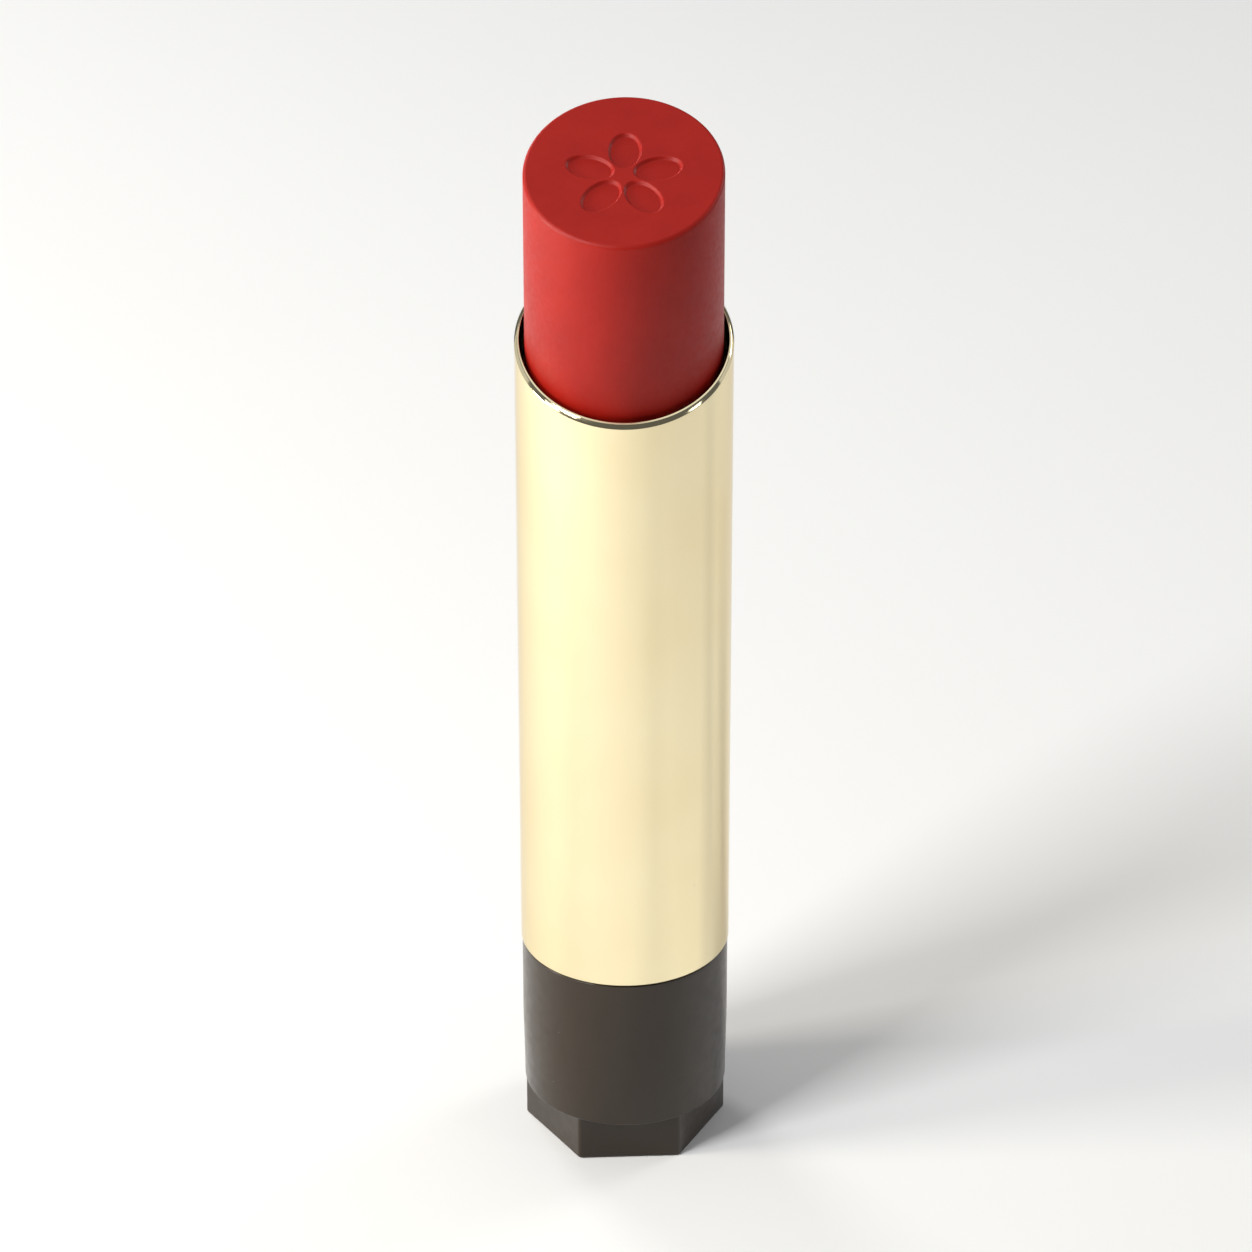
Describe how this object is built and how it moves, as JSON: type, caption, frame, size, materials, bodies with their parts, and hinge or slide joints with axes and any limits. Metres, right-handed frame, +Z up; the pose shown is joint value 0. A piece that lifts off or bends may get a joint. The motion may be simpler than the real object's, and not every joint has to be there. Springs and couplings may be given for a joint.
{
  "type": "lipstick case",
  "caption": "Twist-up lipstick cartridge: round metal sleeve with a slanted rim, slanted bullet, dark barrel base and hexagonal foot.",
  "frame": {"origin": "middle of the hexagonal foot's underside", "axes": "+Z up along the turning axis, towards the bullet's tip; the low side of the slanted rim and tip faces -Y"},
  "size_m": [0.014, 0.014, 0.0729],
  "materials": {
    "base_moulding": "glossy dark brown moulded plastic",
    "cam_moulding": "natural acetal, satin",
    "silicone": "greased silicone rubber",
    "weight_metal": "tumbled metal slug",
    "plug_moulding": "fine matte moulded plastic",
    "label_paper": "coated paper, the colour of the bullet, with no printing",
    "sleeve_metal": "mirror-polished aluminium, anodised pale gold",
    "guide_moulding": "natural acetal, satin",
    "ring_steel": "spring steel",
    "cup_moulding": "natural acetal, satin",
    "lip_colour": "satin wax, deep red"
  },
  "bodies": {
    "base": {"base_shell": "base_moulding", "spiral_tube": "cam_moulding", "drag_ring": "silicone", "base_weight": "weight_metal", "foot_plug": "plug_moulding", "shade_label": "label_paper"},
    "sleeve": {"gold_sleeve": "sleeve_metal", "guide_tube": "guide_moulding", "retaining_ring": "ring_steel"},
    "carriage": {"bullet_cup": "cup_moulding", "lipstick_bullet": "lip_colour"}
  },
  "joints": [
    {"name": "sleeve_turn", "type": "hinge", "parent": "base", "child": "sleeve", "pos_m": [0, 0, 0.0144], "axis": [0, 0, 1], "range_deg": [0, 450]},
    {"name": "bullet_lift", "type": "slide", "parent": "sleeve", "child": "carriage", "axis": [0, 0, 1], "range_m": [-0.014, 0]}
  ],
  "couplings": [
    {"joint": "sleeve_turn", "follows": "bullet_lift", "rad_per_m": -560.99}
  ]
}
